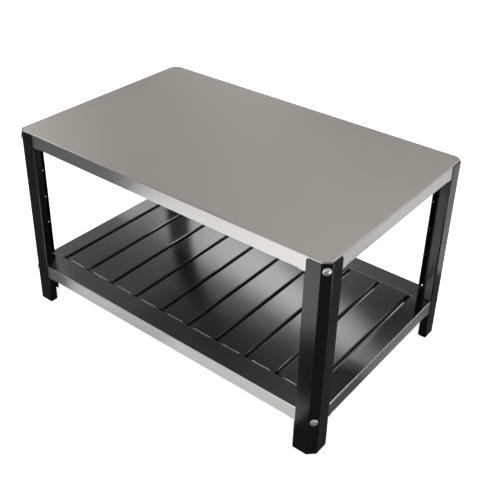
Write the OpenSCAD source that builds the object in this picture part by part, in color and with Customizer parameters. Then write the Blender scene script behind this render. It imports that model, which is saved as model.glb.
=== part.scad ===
// Low stand for a hob: a folded stainless top tray and a slatted stainless shelf, nested inside four
// folded black steel legs and bolted through the legs' corner faces.
// Millimetres, +Z up. The origin is the centre of the footprint on the floor, X runs along the long side.

/* [Overall] */
// Length of the stand over the legs
body_w = 1000; // [700:10:1400]
// Depth of the stand over the legs
body_d = 630; // [450:10:900]
// Length of each leg, floor to leg top
leg_h = 550; // [450:10:900]
// How far the top tray stands above the leg tops
top_rise = 3; // [1:0.5:6]
// Height of the shelf's top face above the floor
shelf_z = 125; // [80:5:180]

/* [Legs] */
// Leg face from the outer corner to the outside of the lip
leg_side = 60; // [52:1:90]
// How much of each leg face the corner face takes
leg_chamfer = 18; // [17:1:25]
// Depth of the inward lips, outside measure
leg_lip = 23; // [18:1:35]
// Leg sheet thickness
leg_t = 2; // [1.5:0.1:3]
// Outside bend radius of the legs
leg_bend = 3.5; // [3.2:0.1:5]
// Clear height left above and below an apron where a lip is cut away
notch_gap = 3; // [1:0.5:8]
// Corner rounding of the leg faces at their top
leg_corner_r = 6; // [2:0.5:10]
// Corner rounding of the lips' free ends
lip_corner_r = 4; // [1:0.5:8]
// Diameter of the lip holes
lip_hole_d = 6.6; // [4.5:0.1:9]
// Lip hole centre from the outside of the leg face
lip_hole_in = 11; // [9:0.5:13]
// Height of the middle lip hole
lip_hole_z = 320; // [290:5:350]
// Spacing of the lip holes
lip_hole_pitch = 85; // [30:5:100]

/* [Trays] */
// Sheet thickness of the top tray and the shelf frame
tray_t = 1.5; // [1:0.1:2]
// Depth of the folded aprons of both trays
apron_h = 40; // [36:1:60]
// Outside bend radius of the trays' edges
tray_bend = 3; // [2.6:0.1:4]
// Clearance between a tray and the inside of the legs
tray_gap = 0.3; // [0.1:0.1:1]
// Width of the return folded inward at the foot of each apron
return_w = 12; // [8:1:20]
// Distance from a return's end to the outer corner of the stand
return_start = 75; // [70:1:150]
// Extra rounding where an edge runs over a tray's corner face
corner_extra = 0.5; // [0.2:0.1:1]

/* [Stiffeners] */
// Distance between the two stiffeners under the top
stiff_pitch = 260; // [160:10:320]
// Height of the hat-shaped stiffeners
stiff_h = 25; // [15:1:30]
// Width of the hat's crown
stiff_crown = 32; // [24:1:60]
// Width of each foot of the hat
stiff_foot = 18; // [12:1:30]
// Sheet thickness of the stiffeners
stiff_t = 1.5; // [1:0.1:2]
// Outside bend radius of the stiffeners
stiff_bend = 3; // [2.6:0.1:4]
// Clearance between a stiffener's end and the apron
stiff_end_gap = 2; // [1:0.5:10]

/* [Shelf frame] */
// Width of the shelf's front and rear borders
border_front = 66; // [60:1:90]
// Width of the shelf's left and right borders
border_side = 58.5; // [56:0.5:90]
// Depth of the flange folded down round the shelf opening
opening_flange = 30; // [26:1:34]
// Open length left at each end of the opening's flanges, so that they fold freely
opening_relief = 1; // [0.5:0.1:3]

/* [Slats] */
// Gap between slats
slat_gap = 10; // [5:0.5:20]
// Slat sheet thickness
slat_t = 1.2; // [0.8:0.1:1.8]
// Depth of the slats' folded sides and end tabs
slat_flange = 15; // [10:1:19]
// Outside bend radius of the slats
slat_bend = 2.5; // [2.2:0.1:3.5]
// Length left flat at a slat's corners, beside the end tab and past the folded sides
slat_notch = 15; // [8:1:20]
// Width of the relief slit at each side of an end tab
slat_slit = 1; // [0.5:0.1:2]
// Clearance between a slat's end and the frame
slat_end_gap = 0.5; // [0.3:0.1:0.9]

/* [Slat rails] */
// Width of the ledge under the slat ends
rail_w = 22; // [22:1:40]
// Rail sheet thickness
rail_t = 1.5; // [1:0.1:2]
// Outside bend radius of the rails
rail_bend = 3; // [2.6:0.1:4]
// Clearance between a rail's end and the frame
rail_end_gap = 0.5; // [0.3:0.1:5]

/* [Corner plates] */
// Sheet thickness of the folded plate behind each corner bolt
plate_t = 2; // [1.5:0.1:2.5]
// Height of the corner plates
plate_h = 26; // [20:1:28]
// Length of a corner plate's wing along the apron
plate_wing = 45; // [20:1:48]
// Outside bend radius of the corner plates
plate_bend = 3.5; // [3.2:0.1:5]

/* [Fasteners] */
// Bolt diameter
bolt_d = 8; // [6:0.5:8]
// Diameter of the bolt holes in leg, tray and corner plate
bolt_hole_d = 9; // [8.4:0.1:10]
// Length of the bolts under the head
bolt_len = 20; // [18:1:30]
// Bolt axis below the top face of its tray
bolt_drop = 22; // [19:0.5:24]
// Diameter of the domed bolt head
head_d = 20; // [14:0.5:20]
// Height of the domed bolt head
head_h = 4.8; // [3.5:0.1:6]
// Straight rim under the dome
head_rim = 0.8; // [0.3:0.1:1.5]
// Hex socket across flats
socket_af = 5; // [4:0.5:6]
// Hex socket depth
socket_depth = 2.6; // [1.5:0.1:3]
// Washer diameter
washer_d = 16; // [14:0.5:16]
// Washer thickness
washer_t = 1.6; // [1:0.1:2]
// Washer hole diameter
washer_hole_d = 8.4; // [8.2:0.1:9]
// Nut across flats
nut_af = 13; // [12:0.5:14]
// Nut height
nut_h = 6.5; // [5:0.1:8]
// Radial clearance between bolt and nut
thread_gap = 0.1; // [0.05:0.01:0.2]

/* [Hidden] */
$fn = 48;
slat_count = 9;
lip_hole_count = 3;
top_z = leg_h + top_rise;
tray_in = leg_t + tray_gap;
wall_in = tray_in + tray_t;
plate_in = wall_in + plate_t;
opening_x = body_w / 2 - border_side;
opening_y = body_d / 2 - border_front;
slat_pitch = (2 * opening_x - slat_gap) / slat_count;
slat_w = slat_pitch - slat_gap;
slat_len = 2 * (opening_y - slat_end_gap);
tab_w = slat_w - 2 * slat_notch;
rail_z = shelf_z - slat_flange;
rail_h = opening_flange - slat_flange;
hole_reach = 20;
far = body_w + body_d;
spare = 1;
bend_lap = 1;
corner_lift = 0.05;
steel = [0.66, 0.64, 0.62];
slat_steel = [0.45, 0.44, 0.43];
rail_steel = [0.55, 0.56, 0.57];
powder_black = [0.09, 0.09, 0.09];
zinc = [0.78, 0.78, 0.76];

// Length that a bend takes off a straight run, measured on the outside of the sheet
function setback(radius, angle) = radius * tan(angle / 2);

// What is left of the corner face's share of a side, on a layer that lies inset from the leg's outside
function chamfer_at(inset) = leg_chamfer - inset * (2 - sqrt(2));

// Side 0 is the left, 1 the front, 2 the right and 3 the rear: its length, and the size across the stand
function side_length(side, w, d) = side % 2 == 1 ? w : d;
function side_across(side, w, d) = side % 2 == 1 ? d : w;

// A point at a distance from the origin, at an angle turned left from straight below it
function below(angle, distance) = distance * [sin(angle), -cos(angle)];

// One bend of a sheet seen end on, about the origin, turning left from the point below the origin. Where
// it isn't square, bend and flats lap and the bend swells by a hair, so that the arcs cross the flats
// cleanly instead of grazing them
module left_bend(thickness, radius, angle) {
    lap = angle == 90 ? 0 : bend_lap;
    lap_run = (radius - thickness / 2) * tan(lap);
    swell = lap_run * tan(lap) / 2;
    intersection() {
        difference() {
            circle(r = radius + swell);
            circle(r = radius + swell - thickness);
        }
        polygon([
            [0, 0],
            below(-lap, 2 * radius),
            below(angle / 2, 2 * radius / cos(angle / 2 + lap)),
            below(angle + lap, 2 * radius)
        ]);
    }
    if (lap > 0)
        for (turn = [0, angle])
            rotate(turn)
                translate([-lap_run, -radius])
                    square([2 * lap_run, thickness]);
}

// A folded sheet seen end on. The path runs along one face, heading +X, with the sheet on its left; it
// turns left at each positive angle and right at each negative one
module folded_profile(runs, angles, thickness, radius, i = 0) {
    if (runs[i] > 0)
        square([runs[i], thickness]);
    if (i < len(angles)) {
        centre = angles[i] > 0 ? radius : thickness - radius;
        translate([runs[i], centre]) {
            if (angles[i] > 0)
                left_bend(thickness, radius, angles[i]);
            else
                mirror([0, 1])
                    left_bend(thickness, radius, -angles[i]);
            rotate(angles[i])
                translate([0, -centre])
                    folded_profile(runs, angles, thickness, radius, i + 1);
        }
    }
}

// Places what is drawn for the front left corner, with the outer corner at the origin, at one corner
module at_corner(right, rear) {
    mirror([right, 0, 0])
        mirror([0, rear, 0])
            translate([-body_w / 2, -body_d / 2, 0])
                children();
}

module at_corners() {
    for (right = [0, 1], rear = [0, 1])
        at_corner(right, rear)
            children();
}

// The bolt axis of the front left corner: +Z points into the stand, z = 0 is the outside of the leg
module on_bolt_axis(height) {
    translate([leg_chamfer / 2, leg_chamfer / 2, height])
        rotate([0, 0, 45])
            rotate([0, 90, 0])
                children();
}

module bolt_hole(height) {
    on_bolt_axis(height)
        cylinder(d = bolt_hole_d, h = hole_reach, center = true);
}

// Takes a square corner at the origin down to a round one, on a sheet that lies in the XY plane
module corner_cutter(radius, depth) {
    linear_extrude(height = depth, center = true)
        difference() {
            translate([-spare, -spare])
                square(radius + spare);
            translate([radius, radius])
                circle(r = radius);
        }
}

// Draws one half of a folded corner, and its mirror image across the corner's diagonal
module both_halves() {
    for (half = [0, 1])
        mirror([half, -half, 0])
            children();
}

// Half of a sheet's corner face, a little past the middle, so that the two halves overlap
function half_face(inset, radius) = chamfer_at(inset) / sqrt(2) - setback(radius, 45) + spare;

// A leg is one sheet: lip, face, corner face, face, lip
module leg() {
    color(powder_black)
        difference() {
            both_halves()
                leg_half();
            bolt_hole(top_z - bolt_drop);
            bolt_hole(shelf_z - bolt_drop);
        }
}

module leg_half() {
    side_run = leg_side - leg_chamfer - leg_bend - setback(leg_bend, 45);
    difference() {
        linear_extrude(height = leg_h)
            translate([leg_lip, leg_side])
                rotate(180)
                    folded_profile(
                        [leg_lip - leg_bend, side_run, half_face(0, leg_bend)],
                        [90, 45], leg_t, leg_bend);
        lip_cuts();
        lip_holes();
        translate([0, leg_side - leg_bend, leg_h])
            rotate([0, 90, 0])
                mirror([0, 1, 0])
                    corner_cutter(leg_corner_r, 4 * leg_t);
    }
}

// The lip is cut away where the top tray and the shelf pass, and its free corners are rounded
module lip_cuts() {
    top_from = top_z - apron_h - notch_gap;
    shelf_from = shelf_z - apron_h - notch_gap;
    shelf_to = shelf_z + notch_gap;
    lip_cut(top_from, leg_h + spare);
    lip_cut(shelf_from, shelf_to);
    for (height = [shelf_to, 0])
        lip_corner(height)
            corner_cutter(lip_corner_r, 4 * leg_t);
    for (height = [top_from, shelf_from])
        lip_corner(height)
            mirror([0, 1, 0])
                corner_cutter(lip_corner_r, 4 * leg_t);
}

module lip_cut(from, to) {
    translate([-spare, leg_side - leg_bend, from])
        cube([leg_lip + 2 * spare, leg_bend + spare, to - from]);
}

// Plane of a lip, with the origin at its free edge, +X towards the leg's face and +Y up
module lip_corner(height) {
    translate([leg_lip, leg_side, height])
        rotate([90, 0, 180])
            children();
}

module lip_holes() {
    first = lip_hole_z - (lip_hole_count - 1) / 2 * lip_hole_pitch;
    for (i = [0 : lip_hole_count - 1])
        translate([lip_hole_in, leg_side, first + i * lip_hole_pitch])
            rotate([90, 0, 0])
                cylinder(d = lip_hole_d, h = 4 * leg_t, center = true);
}

// All that lies within one rounded top edge, which runs along Y at the origin, down to a depth
module rounded_edge(depth, radius) {
    rotate([90, 0, 0])
        linear_extrude(height = 2 * far, center = true) {
            translate([-far, -depth])
                square([far, depth - radius]);
            translate([-far, -depth])
                square([far - radius, depth]);
            translate([-radius, -radius])
                circle(r = radius);
        }
}

// The stand's outline with cut corners, inset from the legs' outside, with rounded top edges: what lies
// within its four sides and four corners. Its top is at z = 0, and the corners' edges are a hair higher
module rounded_block(inset, depth, radius) {
    corner_reach = ((body_w + body_d) / 2 - leg_chamfer) / sqrt(2);
    intersection() {
        intersection_for (side = [0 : 3])
            rotate(90 * side)
                translate([side_across(side, body_w, body_d) / 2 - inset, 0, 0])
                    rounded_edge(depth, radius);
        intersection_for (side = [0 : 3])
            rotate(90 * side + 45)
                translate([corner_reach - inset, 0, corner_lift])
                    rounded_edge(depth + spare, radius + corner_extra);
    }
}

// Foot of the apron on one side: the origin is its outside edge at mid length, +X points into the stand
module apron_foot(side, top) {
    rotate(90 * side)
        translate([tray_in - side_across(side, body_w, body_d) / 2, 0, top - apron_h])
            children();
}

// The folded tray that both the top and the shelf start from: plate, aprons, corner faces and returns
module tray(top) {
    difference() {
        translate([0, 0, top])
            rounded_block(tray_in, apron_h, tray_bend);
        translate([0, 0, top - tray_t])
            rounded_block(wall_in, apron_h, tray_bend - tray_t);
        at_corners()
            bolt_hole(top - bolt_drop);
        for (side = [0 : 3])
            apron_foot(side, top)
                translate([-spare, return_start - side_length(side, body_w, body_d) / 2, -spare])
                    cube([
                        tray_t + 2 * spare,
                        side_length(side, body_w, body_d) - 2 * return_start,
                        tray_bend + spare
                    ]);
    }
    for (side = [0 : 3])
        apron_foot(side, top)
            rotate([90, 0, 0])
                linear_extrude(height = side_length(side, body_w, body_d) - 2 * return_start, center = true)
                    translate([0, tray_bend])
                        rotate(-90)
                            folded_profile([0, return_w - tray_bend], [90], tray_t, tray_bend);
}

module top_panel() {
    color(steel)
        tray(top_z);
}

// A hat-shaped stiffener along the stand, its feet against the underside of the top
module stiffener(y) {
    inner_bend = stiff_bend - stiff_t;
    foot_run = stiff_foot - inner_bend;
    web_run = stiff_h - 2 * stiff_bend;
    crown_run = stiff_crown - 2 * stiff_bend;
    color(rail_steel)
        translate([0, y, top_z - tray_t])
            rotate([90, 0, 90])
                linear_extrude(height = body_w - 2 * (wall_in + stiff_end_gap), center = true)
                    translate([-stiff_crown / 2 - stiff_foot, -stiff_t])
                        folded_profile(
                            [foot_run, web_run, crown_run, web_run, foot_run],
                            [-90, 90, 90, -90], stiff_t, stiff_bend);
}

// A plate folded into a tray's corner, which spreads the pull of the bolt: wing, corner face, wing
module corner_plate(top) {
    wing_run = plate_wing - setback(plate_bend, 45);
    color(rail_steel)
        difference() {
            both_halves()
                translate([wall_in, wall_in + chamfer_at(wall_in) + plate_wing, top - bolt_drop - plate_h / 2])
                    linear_extrude(height = plate_h)
                        rotate(-90)
                            folded_profile(
                                [wing_run, half_face(wall_in, plate_bend)],
                                [45], plate_t, plate_bend);
            bolt_hole(top - bolt_drop);
        }
}

// The shelf: a tray with an opening for the slats, whose edge is folded down all round
module shelf_frame() {
    color(steel) {
        difference() {
            tray(shelf_z);
            translate([0, 0, shelf_z])
                cube([2 * (opening_x + tray_bend), 2 * (opening_y + tray_bend), 4 * tray_t], center = true);
        }
        for (side = [0 : 3])
            rotate(90 * side)
                translate([-side_across(side, opening_x, opening_y), 0, shelf_z - opening_flange])
                    rotate([90, 0, 0])
                        linear_extrude(
                            height = 2 * (side_length(side, opening_x, opening_y) - opening_relief),
                            center = true)
                            rotate(90)
                                folded_profile([opening_flange - tray_bend, 0], [90], tray_t, tray_bend);
    }
}

// An angle along the front or rear of the shelf opening, whose ledge carries the slat ends
module slat_rail() {
    color(rail_steel)
        translate([0, -opening_y, rail_z])
            rotate([90, 0, 90])
                linear_extrude(height = 2 * (opening_x - rail_end_gap), center = true)
                    translate([rail_w, 0])
                        rotate(180)
                            folded_profile([rail_w - rail_bend, rail_h - rail_bend], [90], rail_t, rail_bend);
}

// One slat: a plate with its long sides folded down between the corner reliefs, and a tab folded down
// at each end between two slits
module slat(i) {
    side_run = slat_flange - slat_bend;
    plate_w = slat_w - 2 * slat_bend;
    color(slat_steel)
        translate([-opening_x + slat_gap + slat_w / 2 + (i - 1) * slat_pitch, 0, shelf_z]) {
            rotate([90, 0, 0])
                linear_extrude(height = slat_len - 2 * slat_notch, center = true)
                    translate([slat_w / 2, -slat_flange])
                        rotate(90)
                            folded_profile([side_run, plate_w, side_run], [90, 90], slat_t, slat_bend);
            difference() {
                union() {
                    translate([-plate_w / 2, -slat_len / 2, -slat_t])
                        cube([plate_w, slat_len, slat_t]);
                    for (end = [0, 1])
                        mirror([0, end, 0])
                            translate([-slat_w / 2, -slat_len / 2, -slat_t])
                                cube([slat_w, slat_notch - slat_slit, slat_t]);
                }
                for (end = [0, 1])
                    mirror([0, end, 0])
                        translate([-tab_w / 2 - slat_slit, -slat_len / 2 - spare, -slat_t - spare])
                            cube([tab_w + 2 * slat_slit, slat_bend + spare, slat_t + 2 * spare]);
            }
            for (end = [0, 1])
                mirror([0, end, 0])
                    translate([0, slat_bend - slat_len / 2, 0])
                        rotate([90, 0, 90])
                            linear_extrude(height = tab_w, center = true)
                                rotate(180)
                                    folded_profile([0, side_run], [90], slat_t, slat_bend);
        }
}

// Domed bolt with a hex socket, head outside the leg
module bolt(height) {
    dome_h = head_h - head_rim;
    dome_r = (pow(head_d / 2, 2) + pow(dome_h, 2)) / (2 * dome_h);
    on_bolt_axis(height) {
        difference() {
            intersection() {
                translate([0, 0, dome_r - head_h])
                    sphere(r = dome_r);
                translate([0, 0, -head_h])
                    cylinder(d = head_d, h = head_h);
            }
            translate([0, 0, -head_h - spare])
                cylinder(d = socket_af / cos(30), h = socket_depth + spare, $fn = 6);
        }
        cylinder(d = bolt_d, h = bolt_len);
    }
}

module washer(height) {
    on_bolt_axis(height)
        translate([0, 0, plate_in])
            difference() {
                cylinder(d = washer_d, h = washer_t);
                translate([0, 0, -spare])
                    cylinder(d = washer_hole_d, h = washer_t + 2 * spare);
            }
}

// Hex nut with its corners turned down at both ends
module nut(height) {
    flat_r = nut_af / 2;
    corner_r = flat_r / cos(30);
    turned_h = (corner_r - flat_r) * tan(30);
    on_bolt_axis(height)
        translate([0, 0, plate_in + washer_t])
            difference() {
                intersection() {
                    cylinder(r = corner_r, h = nut_h, $fn = 6);
                    rotate_extrude()
                        polygon([
                            [0, 0], [flat_r, 0], [corner_r, turned_h],
                            [corner_r, nut_h - turned_h], [flat_r, nut_h], [0, nut_h]
                        ]);
                }
                translate([0, 0, -spare])
                    cylinder(r = bolt_d / 2 + thread_gap, h = nut_h + 2 * spare);
            }
}

top_panel();
stiffener(-stiff_pitch / 2);  // stiffener_front
stiffener(stiff_pitch / 2);  // stiffener_rear
at_corner(0, 0) leg();  // leg_front_left
at_corner(1, 0) leg();  // leg_front_right
at_corner(0, 1) leg();  // leg_rear_left
at_corner(1, 1) leg();  // leg_rear_right
at_corner(0, 0) corner_plate(top_z);  // top_corner_front_left
at_corner(1, 0) corner_plate(top_z);  // top_corner_front_right
at_corner(0, 1) corner_plate(top_z);  // top_corner_rear_left
at_corner(1, 1) corner_plate(top_z);  // top_corner_rear_right
shelf_frame();
slat_rail();  // slat_rail_front
mirror([0, 1, 0]) slat_rail();  // slat_rail_rear
for (i = [1 : slat_count])
    slat(i);
at_corner(0, 0) corner_plate(shelf_z);  // shelf_corner_front_left
at_corner(1, 0) corner_plate(shelf_z);  // shelf_corner_front_right
at_corner(0, 1) corner_plate(shelf_z);  // shelf_corner_rear_left
at_corner(1, 1) corner_plate(shelf_z);  // shelf_corner_rear_right
color(zinc) at_corners() bolt(top_z - bolt_drop);  // top_bolts
color(zinc) at_corners() bolt(shelf_z - bolt_drop);  // shelf_bolts
color(zinc) at_corners() washer(top_z - bolt_drop);  // top_washers
color(zinc) at_corners() washer(shelf_z - bolt_drop);  // shelf_washers
color(zinc) at_corners() nut(top_z - bolt_drop);  // top_nuts
color(zinc) at_corners() nut(shelf_z - bolt_drop);  // shelf_nuts
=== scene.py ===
# A low outdoor stand for a hob: a folded stainless top tray and a slatted stainless shelf, bolted inside
# four folded black legs. Metres, +Z up, X along the long side, the front towards -Y.
import math

import bpy
from mathutils import Matrix, Vector


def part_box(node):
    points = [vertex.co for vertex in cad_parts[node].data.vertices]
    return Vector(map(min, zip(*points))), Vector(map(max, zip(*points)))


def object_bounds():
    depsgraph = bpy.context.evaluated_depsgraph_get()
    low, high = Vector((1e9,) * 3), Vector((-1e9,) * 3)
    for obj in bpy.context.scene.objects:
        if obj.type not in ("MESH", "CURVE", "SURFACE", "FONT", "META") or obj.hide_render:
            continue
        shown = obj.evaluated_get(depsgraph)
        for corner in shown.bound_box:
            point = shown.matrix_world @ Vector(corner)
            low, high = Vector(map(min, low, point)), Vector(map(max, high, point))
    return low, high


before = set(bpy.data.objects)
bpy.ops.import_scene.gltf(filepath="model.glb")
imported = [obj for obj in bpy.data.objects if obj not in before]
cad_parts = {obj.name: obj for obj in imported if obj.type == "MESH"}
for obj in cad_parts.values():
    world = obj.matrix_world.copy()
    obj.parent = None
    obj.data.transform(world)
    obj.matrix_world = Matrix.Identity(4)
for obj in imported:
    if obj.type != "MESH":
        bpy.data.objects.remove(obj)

cad_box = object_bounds()

# Legs
# Four legs, each folded from one 2 mm steel sheet and powder-coated satin black. They stand on their
# sheet edges, and the drilled lips along their inner sides are cut away where the top and shelf pass.
CORNERS = ("front_left", "front_right", "rear_left", "rear_right")
ORANGE_PEEL_CELLS = 700
ORANGE_PEEL_DEPTH = 0.00005
ORANGE_PEEL_STRENGTH = 0.35


def new_finish(name, constants):
    """A material whose shader has these constant values: returns the material and its shader."""
    made = bpy.data.materials.new(name)
    made.use_nodes = True
    shader = made.node_tree.nodes["Principled BSDF"]
    for socket, value in constants.items():
        shader.inputs[socket].default_value = value
    return made, shader


def wire(shader, kind, sockets, **settings):
    """Adds a node beside the shader. Each socket gets a value, or a link where that is another socket."""
    tree = shader.id_data
    made = tree.nodes.new(kind)
    for name, value in settings.items():
        setattr(made, name, value)
    for socket, value in sockets.items():
        if isinstance(value, bpy.types.NodeSocket):
            tree.links.new(value, made.inputs[socket])
        else:
            made.inputs[socket].default_value = value
    return made


def place(shader):
    """Where a point of the piece lies, in metres."""
    return wire(shader, "ShaderNodeTexCoord", {}).outputs["Object"]


def mottle(shader, vector, cells, detail=2.0):
    """Noise from about 0.3 to 0.7, with this many cells in a metre."""
    sockets = {"Vector": vector, "Scale": cells, "Detail": detail}
    return wire(shader, "ShaderNodeTexNoise", sockets).outputs["Fac"]


def spread(shader, noise, low, high):
    """Noise from 0.3 to 0.7, carried over to the range from low to high."""
    sockets = {"Value": noise, "From Min": 0.3, "From Max": 0.7, "To Min": low, "To Max": high}
    return wire(shader, "ShaderNodeMapRange", sockets).outputs[0]


def tint(shader, share, dark, light):
    """A colour between dark and light."""
    mix = wire(shader, "ShaderNodeMix", {0: share, 6: (*dark, 1), 7: (*light, 1)}, data_type="RGBA")
    return mix.outputs[2]


def relief(shader, height, depth, strength=1.0):
    """Turns a height from 0 to 1 into bumps this deep, in metres."""
    bump = wire(shader, "ShaderNodeBump", {"Height": height, "Distance": depth, "Strength": strength})
    join(shader, "Normal", bump.outputs[0])


def join(shader, socket, value):
    """Links a worked-out value into one of the shader's sockets."""
    shader.id_data.links.new(value, shader.inputs[socket])


def cloud_over(shader, cells, dark, light, rough_cells, rough, rough_detail=3):
    """Clouds a finish from dark to light, and lets its roughness wander over a range of its own."""
    where = place(shader)
    join(shader, "Base Color", tint(shader, mottle(shader, where, cells), dark, light))
    join(shader, "Roughness", spread(shader, mottle(shader, where, rough_cells, rough_detail), *rough))


def dress(finish, *names):
    """Gives CAD nodes one finish all over."""
    for name in names:
        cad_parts[name].data.materials.clear()
        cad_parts[name].data.materials.append(finish)


powder_coat, coat = new_finish("black_powder_coat", {"IOR": 1.4, "Metallic": 0.0})
cloud_over(coat, cells=14, dark=(0.0035, 0.0035, 0.0033), light=(0.0065, 0.0065, 0.0063),
           rough_cells=30, rough=(0.19, 0.24), rough_detail=4)
orange_peel = mottle(coat, place(coat), ORANGE_PEEL_CELLS, 1)
relief(coat, orange_peel, ORANGE_PEEL_DEPTH, ORANGE_PEEL_STRENGTH)
dress(powder_coat, *[f"leg_{corner}" for corner in CORNERS])

# Corner plates
# Eight short plates folded from 2 mm steel, one behind each corner bolt, in the hollow of the top tray
# and of the shelf. They are plain mill-finish stainless.
HAIR_STREAKS = (1600, 9)
BROAD_STREAKS = (160, 2.5)
CLOUDS = 5
SQUARE_ON = 0.7


def work_out(shader, operation, *numbers):
    """One step of arithmetic on up to three numbers."""
    return wire(shader, "ShaderNodeMath", dict(enumerate(numbers)), operation=operation).outputs[0]


def faces_along(shader, along):
    """1 on faces that look along this axis, and 0 on the rest."""
    normal = wire(shader, "ShaderNodeTexCoord", {}).outputs["Normal"]
    part = wire(shader, "ShaderNodeSeparateXYZ", {0: normal}).outputs["XYZ".index(along)]
    return work_out(shader, "GREATER_THAN", work_out(shader, "ABSOLUTE", part), SQUARE_ON)


def streaks(shader, along, across_cells, along_cells):
    """Streaks on sheet brushed along an axis: this many cells in a metre across them and along them. On
    faces square to that axis the sheet has been folded down, and its streaks run along Z."""
    where = place(shader)
    flat_cells = [along_cells if axis == along else across_cells for axis in "XYZ"]
    flat = wire(shader, "ShaderNodeMapping", {"Vector": where, "Scale": flat_cells}).outputs[0]
    folded_cells = (across_cells, across_cells, along_cells)
    folded = wire(shader, "ShaderNodeMapping", {"Vector": where, "Scale": folded_cells}).outputs[0]
    either = {0: faces_along(shader, along), 4: flat, 5: folded}
    cells = wire(shader, "ShaderNodeMix", either, data_type="VECTOR").outputs[1]
    return mottle(shader, cells, 1, 2)


def brushed_steel(name, along, dark, light, rough, streak_depth, anisotropy):
    """Stainless sheet with its grain along an axis, from dark to light in colour and over a range of
    roughness, with streaks this deep. Its highlights stretch across the grain."""
    made, shader = new_finish(name, {"Metallic": 1.0, "Anisotropic": anisotropy})
    clouds = mottle(shader, place(shader), CLOUDS, 3)
    broad = streaks(shader, along, *BROAD_STREAKS)
    mixed = wire(shader, "ShaderNodeMix", {0: 0.5, 2: broad, 3: clouds}).outputs[0]
    join(shader, "Base Color", tint(shader, spread(shader, mixed, 0, 1), dark, light))
    join(shader, "Roughness", spread(shader, mixed, *rough))
    relief(shader, streaks(shader, along, *HAIR_STREAKS), streak_depth)
    across = [float(axis != along) for axis in "XYZ"]
    directions = {0: faces_along(shader, along), 4: across, 5: (*across[:2], 0.0)}
    join(shader, "Tangent", wire(shader, "ShaderNodeMix", directions, data_type="VECTOR").outputs[1])
    return made


mill_steel = brushed_steel("mill_finish_steel", "X",
                           dark=(0.50, 0.51, 0.52), light=(0.58, 0.59, 0.60),
                           rough=(0.28, 0.36), streak_depth=0.000002, anisotropy=0.3)
dress(mill_steel, *[f"{tray}_corner_{corner}" for tray in ("top", "shelf") for corner in CORNERS])

# Top panel
# The flat top that carries the hob: one 1.5 mm stainless sheet, ground to a fine matte grey, with its four
# edges and cut corners folded down 40 mm and returned inwards, and brushed along the folded edges. A dark
# sound-deadening coat is sprayed on underneath.
LEVEL = 0.9
COAT_GRAIN_CELLS = 320
COAT_GRAIN_DEPTH = 0.0003
COAT_GRAIN_STRENGTH = 0.6


def dress_by_face(name, finishes, which):
    """Gives a CAD node several finishes, and each of its faces the one whose number which(face) returns."""
    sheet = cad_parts[name].data
    sheet.materials.clear()
    for finish in finishes:
        sheet.materials.append(finish)
    for face in sheet.polygons:
        face.material_index = which(face)


def side_of_tray(face):
    """0 on a tray's upper side, 1 on its folded edges and 2 on its underside."""
    if face.normal.z > LEVEL:
        return 0
    return 2 if face.normal.z < -LEVEL else 1


ground_steel = brushed_steel("fine_ground_steel", "X",
                             dark=(0.585, 0.536, 0.491), light=(0.605, 0.556, 0.511),
                             rough=(0.50, 0.56), streak_depth=0.000004, anisotropy=0.2)
edge_steel = brushed_steel("brushed_edge_steel", "X",
                           dark=(0.585, 0.567, 0.553), light=(0.605, 0.587, 0.573),
                           rough=(0.36, 0.40), streak_depth=0.000002, anisotropy=0.85)
damping_coat, damping = new_finish("grey_damping_coat", {"IOR": 1.45, "Metallic": 0.0})
cloud_over(damping, cells=40, dark=(0.075, 0.075, 0.076), light=(0.100, 0.100, 0.101),
           rough_cells=150, rough=(0.65, 0.8))
coat_grain = mottle(damping, place(damping), COAT_GRAIN_CELLS, 3)
relief(damping, coat_grain, COAT_GRAIN_DEPTH, COAT_GRAIN_STRENGTH)
dress_by_face("top_panel", (ground_steel, edge_steel, damping_coat), side_of_tray)

# Stiffeners
# Two hat-shaped sections of 1.5 mm stainless along the underside of the top, spot-welded to it by
# their feet and sprayed with the same dark coat.
dress(damping_coat, "stiffener_front", "stiffener_rear")

# Shelf frame and slat rails
# The lower tray, folded like the top but open in the middle, with its opening's edge folded down. Its long
# borders and the two at its ends are brushed apart and meet at mitres. An angle rail along the front and the
# rear of the opening carries the slat ends. The rails and the opening's folded edge are coloured dark, as
# painted shade for the gaps under the slats.
BORDER_LEVEL = 0.995
END_BORDER_REACH = 0.040
OPENING_START = 0.028
shelf_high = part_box("shelf_frame")[1]


def side_of_shelf(face):
    """As on the top, but 3 on the opening's folded edge and 4 on the borders at the shelf's two ends. A
    face is sorted by how far its middle lies in from the shelf's ends and from its long edges."""
    from_end = shelf_high[0] - abs(face.center.x)
    from_edge = shelf_high[1] - abs(face.center.y)
    if face.normal.z > BORDER_LEVEL and from_end < END_BORDER_REACH:
        return 4
    if face.normal.z < BORDER_LEVEL and min(from_end, from_edge) > OPENING_START:
        return 3
    return side_of_tray(face)


long_border_steel = brushed_steel("satin_frame_steel", "Y",
                                  dark=(0.585, 0.57, 0.56), light=(0.625, 0.61, 0.60),
                                  rough=(0.20, 0.21), streak_depth=0.0000005, anisotropy=0.9)
end_border_steel = brushed_steel("satin_side_steel", "X",
                                 dark=(0.585, 0.57, 0.56), light=(0.625, 0.61, 0.60),
                                 rough=(0.07, 0.08), streak_depth=0.0000005, anisotropy=0.8)
# Painted shade: a dark steel colour for the slat rails and the opening's folded edge, so the gaps look dark.
gap_shade_steel = brushed_steel("gap_shade_dark_steel", "X",
                             dark=(0.10, 0.10, 0.10), light=(0.15, 0.148, 0.145),
                             rough=(0.40, 0.50), streak_depth=0.000002, anisotropy=0.2)
shelf_finishes = (long_border_steel, edge_steel, mill_steel, gap_shade_steel, end_border_steel)
dress_by_face("shelf_frame", shelf_finishes, side_of_shelf)
dress(gap_shade_steel, "slat_rail_front", "slat_rail_rear")

# Slats
# Nine loose slats of 1.2 mm stainless, brushed along their length, with their long sides and a tab at
# each end folded down. The folded sides, the rear tab and the underside are left dull, and their dark colour
# is painted shade for the gaps between the slats.
FOLDED_SIDE = 0.7
REAR_TAB = 0.3


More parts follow.
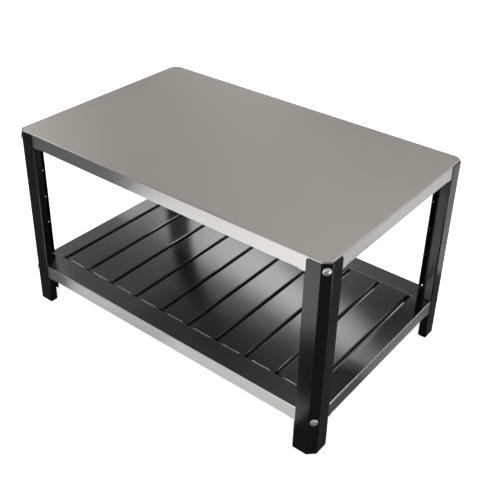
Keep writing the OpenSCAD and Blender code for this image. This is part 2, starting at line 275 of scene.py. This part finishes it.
def side_of_slat(face):
    """0 on a slat's upper side and front tab, and 1 on its folded sides, its rear tab and its underside."""
    folded = abs(face.normal.x) > FOLDED_SIDE or face.normal.z < -FOLDED_SIDE
    return int(folded or face.normal.y > REAR_TAB)


slat_steel = brushed_steel("brushed_slat_steel", "Y",
                           dark=(0.51, 0.495, 0.482), light=(0.56, 0.545, 0.532),
                           rough=(0.16, 0.175), streak_depth=0.0000004, anisotropy=0.96)
# Painted shade: a dark colour on the slats' folded sides, rear tabs and undersides darkens the gaps.
fold_shade_steel = brushed_steel("painted_shade_fold_steel", "Y",
                           dark=(0.16, 0.155, 0.15), light=(0.20, 0.195, 0.19),
                           rough=(0.40, 0.48), streak_depth=0.000002, anisotropy=0.3)
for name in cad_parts:
    if name.removeprefix("slat_").isdigit():
        dress_by_face(name, (slat_steel, fold_shade_steel), side_of_slat)

# Bolts, washers and nuts
# A domed M8 socket bolt of bright stainless through each leg's corner face into the top and the shelf,
# with a plain washer and a nut behind the corner plate.
bright_steel, bright = new_finish("bright_stainless", {"Metallic": 1.0})
cloud_over(bright, cells=90, dark=(0.76, 0.75, 0.74), light=(0.84, 0.83, 0.82),
           rough_cells=400, rough=(0.34, 0.44))
dress(bright_steel, "top_bolts", "shelf_bolts")
plain_steel, plain = new_finish("plain_stainless", {"Metallic": 1.0})
cloud_over(plain, cells=120, dark=(0.58, 0.59, 0.59), light=(0.68, 0.69, 0.69),
           rough_cells=300, rough=(0.25, 0.38))
dress(plain_steel, "top_washers", "shelf_washers", "top_nuts", "shelf_nuts")

# Floor
# A plain pale floor. The camera sees it white by a share of white of its own, except in a painted shade: a
# fixed soft-edged rectangle under the stand and a little way behind it, where that white is withheld.
# Metal sees a smaller share, because the steel in the photograph mirrors dim surroundings, and for the same
# reason the floor's paint is darker to every ray but the camera's.
FLOOR_SIZE = 60.0
WHITE_SEEN = 0.90
WHITE_MIRRORED = 0.05
PAINT_SEEN = (0.8, 0.8, 0.8)
PAINT_MIRRORED = (0.16, 0.16, 0.16)
PAINTED_SHADE_MIDDLE = (-0.08, 0.12)
PAINTED_SHADE_MARGIN = (0.005, 0.040)
PAINTED_SHADE_EDGE = 0.88
bpy.ops.mesh.primitive_plane_add(size=FLOOR_SIZE)
floor = bpy.context.object
floor.name = "floor"
floor_paint, pale = new_finish("pale_floor", {"Roughness": 0.9, "Specular IOR Level": 0.0})


def ray_kind(shader, kind):
    """1 for rays of this kind, and 0 for the rest."""
    return wire(shader, "ShaderNodeLightPath", {}).outputs[kind]


def white_share(shader):
    """How much white of its own the floor shows to each kind of ray."""
    glossy = ray_kind(shader, "Is Glossy Ray")
    transmitted = ray_kind(shader, "Is Transmission Ray")
    mirrored = work_out(shader, "MULTIPLY", work_out(shader, "MAXIMUM", glossy, transmitted), WHITE_MIRRORED)
    return work_out(shader, "MULTIPLY_ADD", ray_kind(shader, "Is Camera Ray"), WHITE_SEEN, mirrored)


def beyond_painted_shade(shader):
    """0 in the painted shade, a fixed rectangle under the stand and a little way behind it, and 1 round
    about.
    """
    reach = (cad_box[1].x + PAINTED_SHADE_MARGIN[0], cad_box[1].y + PAINTED_SHADE_MARGIN[1], 1)
    shade = {"Vector": place(shader), "Location": (*PAINTED_SHADE_MIDDLE, 0), "Scale": reach}
    offset = wire(shader, "ShaderNodeMapping", shade, vector_type="TEXTURE").outputs[0]
    either_way = wire(shader, "ShaderNodeVectorMath", {0: offset}, operation="ABSOLUTE").outputs[0]
    parts = wire(shader, "ShaderNodeSeparateXYZ", {0: either_way}).outputs
    rise = {"Value": work_out(shader, "MAXIMUM", parts[0], parts[1]), "From Min": PAINTED_SHADE_EDGE, "From Max": 1.0}
    return wire(shader, "ShaderNodeMapRange", rise, interpolation_type="SMOOTHSTEP").outputs[0]


join(pale, "Base Color", tint(pale, ray_kind(pale, "Is Camera Ray"), PAINT_MIRRORED, PAINT_SEEN))
# Painted shadow: inside the fixed shade rectangle the floor's own white is withheld, so its darker paint
# shows.
own_white = work_out(pale, "MULTIPLY", white_share(pale), beyond_painted_shade(pale))
white = wire(pale, "ShaderNodeEmission", {"Color": (1, 1, 1, 1), "Strength": own_white})
both = wire(pale, "ShaderNodeAddShader", {0: pale.outputs[0], 1: white.outputs[0]})
output = floor_paint.node_tree.nodes["Material Output"]
floor_paint.node_tree.links.new(both.outputs[0], output.inputs["Surface"])
floor.data.materials.append(floor_paint)

# Studio light
# Soft panels round and above the stand, and bounce cards on the floor in front of it and at its sides,
# in a dim room. None of them shows in the picture itself. Each line gives a panel's corner, the two edges
# that leave it, and how bright it is.
STAND_CENTRE = (cad_box[0] + cad_box[1]) / 2
ROOM_GLOW = 0.03


def soft_panel(name, corner, side, rise, radiance):
    """A flat soft light that spans two edges from a corner and faces the stand. At 1 it is as bright as
    white paper."""
    corner, side, rise = Vector(corner), Vector(side), Vector(rise)
    lamp = bpy.data.lights.new(name, "AREA")
    lamp.shape = "RECTANGLE"
    lamp.size, lamp.size_y = side.length, rise.length
    lamp.energy = radiance * math.pi * side.length * rise.length
    middle = corner + (side + rise) / 2
    behind = side.cross(rise).normalized()
    if behind.dot(STAND_CENTRE - middle) > 0:
        behind = -behind
    across = side.normalized()
    holder = bpy.data.objects.new(name, lamp)
    turned = Matrix((across, behind.cross(across), behind)).transposed().to_4x4()
    holder.matrix_world = Matrix.Translation(middle) @ turned
    holder.visible_camera = False
    bpy.context.collection.objects.link(holder)


# Strips and panels at the left and the rear left, which the slats and the borders mirror.
soft_panel("strip_left", (-2.969, 1.821, 1.7), (0.964, -0.081, 0), (0.033, 0.395, 0), 0.35)
soft_panel("strip_middle", (-2.005, 1.740, 1.7), (0.857, -0.072, 0), (0.033, 0.395, 0), 0.95)
soft_panel("strip_right", (-1.147, 1.668, 1.7), (0.715, -0.060, 0), (0.021, 0.246, 0), 0.85)
soft_panel("rear_panel", (-3.2, 3.0, 0.3), (1.4, 0, 0), (0, 0, 1.8), 1.05)
soft_panel("rear_edge_panel", (-1.8, 3.0, 2.1), (1.4, 0, 0), (0, 0, 0.2), 0.12)
soft_panel("rear_high_panel", (-1.8, 3.0, 2.9), (1.6, 0, 0), (0, 0, 1.4), 0.25)
soft_panel("left_panel", (-3.2, -1.6, 1.75), (0, 3.1, 0), (0, 0, 1.65), 2.8)
soft_panel("left_rear_panel", (-3.2, 1.5, 1.9), (0, 1.5, 0), (0, 0, 1.5), 0.10)

# Ceiling panels for the top.
soft_panel("ceiling_rear", (-1.5, 1.2, 3.2), (3, 0, 0), (0, 1.4, 0), 1.7)
soft_panel("ceiling_right", (1.5, 1.2, 3.2), (2, 0, 0), (0, 1.4, 0), 4.5)
soft_panel("ceiling_middle", (-1.0, -1.0, 3.2), (2, 0, 0), (0, 2, 0), 0.45)

# A lamp and walls for the edges and legs, on all sides.
soft_panel("front_lamp", (-1.2, -3.4, 1.8), (1.2, 0, 0), (0, 0.1, 1.0), 7.5)
soft_panel("front_left_panel", (-3.0, -2.7, 1.6), (2.0, -0.3, 0), (0, 0, 0.8), 2.0)
soft_panel("front_wall", (-1.6, -3.6, 0.2), (2.4, 0, 0), (0, 0, 1.0), 2.9)
soft_panel("right_wall", (3.2, -1.6, 0.5), (0, 4.2, 0), (0, 0, 2.2), 0.7)
soft_panel("rear_right_wall", (0.9, 3.2, 0.5), (2.3, 0, 0), (0, 0, 2.2), 0.7)
soft_panel("front_right_wall", (0.8, -3.6, 0.6), (2.4, 1.4, 0), (0, 0, 2.2), 0.7)

# Cards just above the floor, which light the folded edges from below.
soft_panel("front_card_near", (-0.45, -0.45, 0.01), (0.40, 0, 0), (0, 0.09, 0), 0.65)
soft_panel("front_card_near_right", (-0.05, -0.45, 0.01), (0.46, 0, 0), (0, 0.09, 0), 1.15)
soft_panel("front_card", (-0.50, -0.46, 0.01), (0.84, -0.26, 0), (-0.15, -0.41, 0), 2.6)
soft_panel("front_card_far", (-0.753, -1.103, 0.01), (0.841, -0.320, 0), (-0.249, -0.655, 0), 1.1)
soft_panel("right_card_near", (0.53, -0.02, 0.01), (0.10, 0, 0), (0, 0.33, 0), 0.2)
soft_panel("right_card_front", (1.10, -0.40, 0.01), (0.7, 0, 0), (0, 0.6, 0), 3.7)
soft_panel("right_card_rear", (0.56, 0.56, 0.01), (1.2, 0, 0), (0, 1.5, 0), 0.72)
soft_panel("rear_card", (-0.55, 0.55, 0.01), (1.0, 0, 0), (0, 1.2, 0), 0.8)
soft_panel("left_card", (-1.8, -0.25, 0.01), (1.1, 0, 0), (0, 1.2, 0), 0.8)

room = bpy.data.worlds.new("dim_room")
bpy.context.scene.world = room
room.use_nodes = True
air = room.node_tree.nodes["Background"]
air.inputs["Color"].default_value = (1, 1, 1, 1)
join(air, "Strength", work_out(air, "MULTIPLY_ADD", ray_kind(air, "Is Camera Ray"), WHITE_SEEN, ROOM_GLOW))

# Camera
# A still camera at the front right, a little above standing height, with its lens aimed down at the top.
# Its place and its lens were solved from the legs', trays' and slats' corners in the photograph.
AZIMUTH, ELEVATION, ROLL = math.radians(38.403), math.radians(29.968), math.radians(0.99)
TARGET = Vector((0.003, 0.0, 0.400))
DISTANCE = 2.208
PIXELS = 500
FOCAL_PIXELS = 812.8
CENTRE = (235.0, 193.7)
SENSOR_WIDTH = 36.0
forward = math.cos(ELEVATION)
back = Vector((math.sin(AZIMUTH) * forward, -math.cos(AZIMUTH) * forward, math.sin(ELEVATION)))
level = (-back).cross(Vector((0, 0, 1))).normalized()
turn = Matrix.Rotation(ROLL, 3, back)
right = turn @ level
up = turn @ level.cross(-back)
lens = bpy.data.cameras.new("camera")
lens.sensor_width = SENSOR_WIDTH
lens.lens = FOCAL_PIXELS / PIXELS * SENSOR_WIDTH
lens.shift_x = (PIXELS / 2 - CENTRE[0]) / PIXELS
lens.shift_y = (CENTRE[1] - PIXELS / 2) / PIXELS
lens.dof.use_dof = False
camera = bpy.data.objects.new("camera", lens)
standing = Matrix((right, up, back)).transposed().to_4x4()
camera.matrix_world = Matrix.Translation(TARGET + back * DISTANCE) @ standing
bpy.context.collection.objects.link(camera)
bpy.context.scene.camera = camera
bpy.context.scene.view_settings.view_transform = "Standard"
